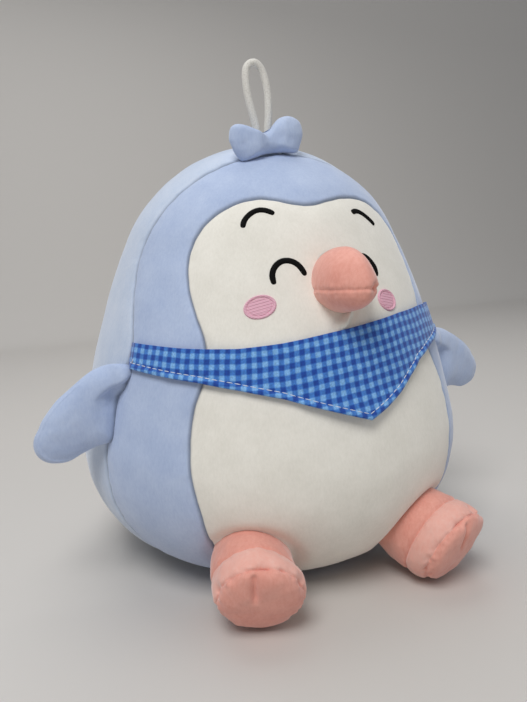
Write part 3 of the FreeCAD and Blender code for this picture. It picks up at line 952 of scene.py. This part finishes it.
class OBJECT_OT_penguin_wings(PieceOperator, bpy.types.Operator):
    """Two flippers, each of a front and a back piece round its filling, sewn into the side seams"""

    bl_idname = "object.penguin_wings"
    bl_label = "Wings"

    def place(self, shape, side, face, u, v, half, shrink):
        rim = smooth_line_point(WING, u)
        middle = Vector((-WING_MIDDLE.x, 0, WING_MIDDLE.z))
        spread = (1 - (1 - v) ** 1.7) * shrink
        point = middle.lerp(Vector((rim[0], 0, rim[1])), spread)
        root = ease((-point.x - 95) / 11)
        shoulder = ease((point.x + 106) / 12) * ease((point.z - 104.5) / 9)
        plump = half / MM * (0.36 + 0.64 * max(root, shoulder)) * max(0, 1 - spread ** 2.6) ** 0.55
        if face < 0:
            fold = point.z - 110.6 - 0.5 * (point.x + 101)
            depth = ease((point.x + 112) / 12)
            plump -= min(4.0, 0.8 * max(0, plump)) * bump(fold, 1.9 if fold > 0 else 8) * depth
            plump += 1.4 * bump(math.hypot(point.x + 102, point.z - 116), 7) * (1 - v ** 4)
            plump += 0.5 * bump(abs(v - 0.8), 0.05) * ease((-112 - point.x) / 8)
        grain = Vector((point.x * side, face * 9, point.z))
        plump += (0.6 * crumple(grain, 12) + 0.25 * crumple(grain, 5, 2.0)) * (1 - v ** 6)
        wobble = 0.5 * crumple((u * 60, side * 5, 0), 3.0) * v ** 3
        point.z += wobble
        if shrink < 1:
            plump = max(0, plump * shrink - 0.8)
        point.y = WING_ROOT.y + face * plump - 5.5 * shoulder
        lift, sweep = (0, 0) if side < 0 else (math.radians(9), math.radians(14))
        reach = ease((-point.x - 96) / 20)
        anchor = mirrored(WING_ROOT, -1)
        offset = point - anchor
        offset = Matrix.Rotation(-sweep * reach, 3, "Z") @ (Matrix.Rotation(lift * reach, 3, "Y") @ offset)
        point = offset + anchor
        point.x *= -side
        point *= MM
        # The mark paints shade on the wing where it runs into the body's skin, for the dark gap at its
        # root.
        skin, normal = shape.skin((point - HEART).normalized())
        return point, bump((point - skin).dot(normal) / MM + 0.5, 1.6)

    def execute(self, context):
        shape, half = body_shape(), context.scene.penguin_sizes.wing
        for side, name in ((-1, "right"), (1, "left")):
            cushion(f"wing_{name}", 42,
                    lambda face, u, v, shrink: self.place(shape, side, face, u, v, half, shrink),
                    # The wing backs take the paler blue that is painted for sheen.
                    ("brushed_blue_plush", "brushed_pale_blue_plush"), (0.6, 0.5))
        return {"FINISHED"}


# ---------------------------------------------------------------- legs

class OBJECT_OT_penguin_legs(PieceOperator, bpy.types.Operator):
    """Two stub legs, each of a sleeve, a foot and a sole round its filling"""

    bl_idname = "object.penguin_legs"
    bl_label = "Legs"

    ANKLE, RIM = 13.2, 25.5
    # distance along the leg and share of the foot's radius
    SLEEVE = ((-13, 0.80), (-5, 0.91), (3, 0.96), (9, 0.985), (13.2, 0.985))
    FOOT = ((13.2, 0.985), (14.6, 0.99), (17, 1.0), (20, 0.995), (23.5, 0.965), (25.5, 0.93))
    SOLE = ((25.5, 0.93), (27.6, 0.88), (29.6, 0.76), (30.9, 0.55), (31.5, 0.28), (31.6, 0))
    # dents of each foot: angle round the leg from its outer side, distance along it, depth and width
    DENTS = {-1: ((164, 24.5, 3.4, 2.6), (84, 24.8, 2.0, 4.2), (24, 24.5, 1.8, 3.0)),
             1: ((150, 25.5, 5.2, 2.6), (112, 22.0, 2.2, 2.6), (70, 25.5, 1.8, 3.0), (205, 25.5, 2.4, 2.8))}

    def place(self, side, keys, u, v, radius, shrink=1.0):
        line = smooth_line([Vector(k) for k in keys], 40)
        along, share = between(line, v)
        axis = mirrored(LEG_AXIS, side).normalized()
        rise = (Vector((0, 0, 1)) - axis * axis.z).normalized()
        aside = axis.cross(rise) * side
        turn = 2 * math.pi * u
        out = aside * math.cos(turn) + rise * math.sin(turn)
        reach = share * radius / MM
        hip = mirrored(HIP, side)
        tilt = 0.24 * reach * math.sin(turn) * ease((along + 6) / 30)
        if side < 0:
            hip = hip + Vector((1.6, 0, 0)) * ease((along - 2) / 22)
            reach *= 1 - 0.05 * max(0, -math.cos(turn))
            inner = ease((along + 10) / 8) * (1 - ease((along - 9) / 14))
            reach *= 1 - 0.15 * max(0, math.cos(turn)) * inner
        raw = hip + axis * (along + tilt) + out * reach
        ankle, rim = abs(along - self.ANKLE), math.hypot(along - self.RIM, (share - 0.93) * radius / MM)
        push = 0.7 * crumple(raw, 12) + 0.35 * crumple(raw, 5, 3.0)
        push -= 0.9 * bump(ankle, 0.8) + 0.4 * bump(ankle, 3) - 0.5 * crumple(raw, 3, 6.0) * bump(ankle, 3)
        push -= 0.7 * bump(rim, 0.9) + 0.7 * bump(rim, 2.4) - 1.3 * crumple(raw, 2.6, 8.0) * bump(rim, 3)
        for angle, distance, depth, width in self.DENTS[side]:
            spot = math.radians(angle)
            place = (hip + axis * (distance + 0.24 * 0.92 * radius / MM * math.sin(spot))
                     + (aside * math.cos(spot) + rise * math.sin(spot)) * 0.95 * radius / MM)
            push -= depth * bump((raw - place).length, width)
        if along > self.RIM:
            crease = aside * (-2.5 if side < 0 else 4.0)
            off = out * reach - crease
            across, above = off.dot(aside), off.dot(rise)
            push -= 2.4 * bump(across, 1.6) * ease((above - 1) / 7) * (1 - ease((share - 0.8) / 0.1))
        way = (out * (1 if along < self.RIM else share) + axis * ease((along - 22) / 6)).normalized()
        raw += way * push
        if raw.z < 3.0:
            raw.z = 0.6 + 2.4 * math.exp((raw.z - 3.0) / 2.4)
        centre = hip + axis * 14
        return (centre + (raw - centre) * shrink) * MM

    def execute(self, context):
        radius = context.scene.penguin_sizes.foot
        for side, name in ((-1, "right"), (1, "left")):
            leg = f"leg_{name}"
            hip, axis = mirrored(HIP, side) * MM, mirrored(LEG_AXIS, side) * MM
            centre = hip + axis * 12
            for keys, part, cloth, rows in ((self.SLEEVE, "sleeve", "brushed_salmon_plush", 26),
                                            (self.FOOT, "foot", "brushed_light_salmon_plush", 30),
                                            (self.SOLE, "sole", "brushed_salmon_plush", 34)):
                bm = grid_sheet(150, rows, lambda u, v: self.place(side, keys, u, v, radius), closed=True)
                face_out(bm, centre)
                moving = None if part == "sleeve" else leg
                piece = finished(bm, f"{leg}_{part}_plush", cloth, moving, [f"{leg}_{part}"])
                if part == "sleeve":
                    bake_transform(piece)

            def core(u, v):
                keys = self.SLEEVE + self.FOOT[1:] + self.SOLE[1:]
                return self.place(side, keys, u, v, radius, shrink=0.85)
            bm = grid_sheet(48, 40, core, closed=True)
            bmesh.ops.holes_fill(bm, edges=[e for e in bm.edges if e.is_boundary])
            face_out(bm, centre)
            finished(bm, f"{leg}_fibre", "polyester_fibre_fill", leg, [f"{leg}_stuffing"])
        return {"FINISHED"}


# ---------------------------------------------------------------- tuft and hanging loop

# Outline of the tuft seen from the front: x and height.
BOW = ((-30.4, 234), (-29.2, 239.6), (-24.4, 241), (-18.6, 239.4), (-12.6, 237.2), (-7, 239.6),
       (-1.8, 244.4), (3.8, 246.2), (9.8, 243.4), (11.8, 237.6), (10, 231.6), (7.2, 227), (-2, 227.2),
       (-11, 226), (-18, 223.8), (-23.5, 222.8), (-27.2, 226), (-29.4, 230.6))
# Points that the hanging cord passes, behind the tuft: x and height, all at one depth.
ROUTE = ((-8.6, 229), (-10.3, 238.5), (-12.8, 248.3), (-15.4, 258.4), (-16, 266.9), (-15.4, 271.8),
         (-12.7, 274.2), (-9.6, 274.5), (-6.6, 271.6), (-4.6, 266.6), (-3.2, 258.2), (-3.4, 248),
         (-4.6, 238), (-4.6, 228))
ROUTE_DEPTH = -27
TUFT_DEPTH = -36.5


class OBJECT_OT_penguin_tuft(PieceOperator, bpy.types.Operator):
    """Bow-shaped tuft of two blue plush pieces round its filling, and the cord loop behind it"""

    bl_idname = "object.penguin_tuft"
    bl_label = "Tuft and hanging loop"

    def place(self, face, u, v, half, shrink):
        rim = smooth_line_point(BOW, u)
        middle = Vector((-9.5, 0, 233.2))
        spread = (1 - (1 - v) ** 1.7) * shrink
        point = middle.lerp(Vector((rim[0], 0, rim[1])), spread)
        lobe = ease((abs(point.x + 8.5) - 1) / 8)
        plump = half / MM * (0.66 + 0.34 * lobe) * max(0, 1 - spread ** 2.4) ** 0.55
        plump -= 1.1 * bump(point.x + 10, 4.0) * ease((point.z - 231) / 5)
        grain = Vector((point.x, face * 9, point.z))
        plump += (0.8 * crumple(grain, 9) + 0.3 * crumple(grain, 4, 2.0)) * (1 - v ** 6)
        point.z += 0.5 * crumple((u * 50, 3, 0), 3.0) * v ** 3
        point.y = TUFT_DEPTH + face * plump * shrink
        return point * MM, 0

    def execute(self, context):
        sizes = context.scene.penguin_sizes
        cushion("tuft", 36, lambda face, u, v, shrink: self.place(face, u, v, sizes.tuft, shrink),
                ("brushed_blue_plush", "brushed_blue_plush"), (0.7, 0.6))
        self.loop(sizes.cord)
        return {"FINISHED"}

    def loop(self, diameter):
        """Braided cord, sewn in at both ends and standing up in a narrow loop."""
        curve = bpy.data.curves.new("hang_loop_cord", "CURVE")
        curve.dimensions = "3D"
        spline = curve.splines.new("NURBS")
        spline.points.add(len(ROUTE) - 1)
        for point, (x, z) in zip(spline.points, ROUTE):
            point.co = (x * MM, ROUTE_DEPTH * MM, z * MM, 1)
        spline.order_u = 3
        spline.use_endpoint_u = True
        spline.resolution_u = 12
        curve.bevel_depth = diameter / 2
        curve.bevel_resolution = 6
        curve.use_fill_caps = True
        curve.materials.append(finish_of("braided_white_elastic"))
        piece = bpy.data.objects.new("hang_loop_cord", curve)
        bpy.context.scene.collection.objects.link(piece)
        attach(piece, "body")
        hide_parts("hang_loop")
        x, z = ROUTE[0]


# ---------------------------------------------------------------- stage

class SCENE_OT_penguin_stage(PieceOperator, bpy.types.Operator):
    """Pale floor with a swept backdrop, soft lights and the camera"""

    bl_idname = "scene.penguin_stage"
    bl_label = "Stage"

    def execute(self, context):
        def sweep(u, v):
            y = -1.2 + 3.0 * v
            rise = max(0.0, y - 0.9)
            return Vector((3.6 * (u - 0.5), min(y, 0.9 + rise * 0.45), 1.6 * rise * rise))
        bm = grid_sheet(24, 60, sweep)
        floor = finished(bm, "floor", "painted_floor_board", None)
        if floor.data.polygons[0].normal.z < 0:
            floor.data.flip_normals()
        self.light("key_light", (-0.52, -0.66, 1.2), 0.6, 10.6)
        self.light("fill_light", (0.95, -0.75, 0.7), 0.9, 1.2)
        self.light("top_light", (0.05, 0.45, 1.1), 0.9, 4.5)
        world = bpy.data.worlds.new("studio")
        world.use_nodes = True
        world.node_tree.nodes["Background"].inputs["Color"].default_value = linear("#e8ecf2")
        world.node_tree.nodes["Background"].inputs["Strength"].default_value = 0.30
        context.scene.world = world
        context.scene.view_settings.view_transform = "Standard"
        self.camera(context, Vector((-156.0, -366.2, 183.0)) * MM, Vector((-1.1, -0.5, 114.6)) * MM, -2.48)
        return {"FINISHED"}

    def light(self, name, place, size, power):
        """One square soft box aimed at the toy."""
        data = bpy.data.lights.new(name, "AREA")
        data.size = size
        data.energy = power
        lamp = bpy.data.objects.new(name, data)
        lamp.location = place
        lamp.rotation_euler = (Vector((0, 0, 0.1)) - Vector(place)).to_track_quat("-Z", "Y").to_euler()
        bpy.context.scene.collection.objects.link(lamp)

    def camera(self, context, place, target, roll):
        """Camera a little above the toy and to its right, rolled slightly as if held by hand."""
        data = bpy.data.cameras.new("camera")
        data.lens = 33.74
        data.clip_start = 0.01
        eye = bpy.data.objects.new("camera", data)
        turn = (target - place).to_track_quat("-Z", "Y").to_matrix().to_4x4()
        eye.matrix_world = Matrix.Translation(place) @ turn @ Matrix.Rotation(math.radians(roll), 4, "Z")
        context.scene.collection.objects.link(eye)
        context.scene.camera = eye


class VIEW3D_PT_penguin(bpy.types.Panel):
    """Lists the toy's pieces and settings"""

    bl_label = "Plush Penguin"
    bl_idname = "VIEW3D_PT_penguin"
    bl_space_type = "VIEW_3D"
    bl_region_type = "UI"
    bl_category = "Penguin"

    def draw(self, context):
        for group in (context.scene.penguin_sizes, context.scene.penguin_colours):
            box = self.layout.box()
            for key in group.__annotations__:
                box.prop(group, key)
        for operator in OPERATORS:
            self.layout.operator(operator.bl_idname)


OPERATORS = (OBJECT_OT_penguin_front, OBJECT_OT_penguin_hood, OBJECT_OT_penguin_back,
             OBJECT_OT_penguin_base,
             OBJECT_OT_penguin_embroidery, OBJECT_OT_penguin_beak, OBJECT_OT_penguin_bandana,
             OBJECT_OT_penguin_wings, OBJECT_OT_penguin_legs, OBJECT_OT_penguin_tuft,
             SCENE_OT_penguin_stage)
CLASSES = (PenguinSizes, PenguinColours) + OPERATORS + (VIEW3D_PT_penguin,)


def register():
    for cls in CLASSES:
        bpy.utils.register_class(cls)
    bpy.types.Scene.penguin_sizes = PointerProperty(type=PenguinSizes)
    bpy.types.Scene.penguin_colours = PointerProperty(type=PenguinColours)


def unregister():
    del bpy.types.Scene.penguin_colours
    del bpy.types.Scene.penguin_sizes
    for cls in reversed(CLASSES):
        bpy.utils.unregister_class(cls)


def main():
    register()
    for operator in OPERATORS:
        group, name = operator.bl_idname.split(".")
        getattr(getattr(bpy.ops, group), name)()


if __name__ == "__main__":
    main()
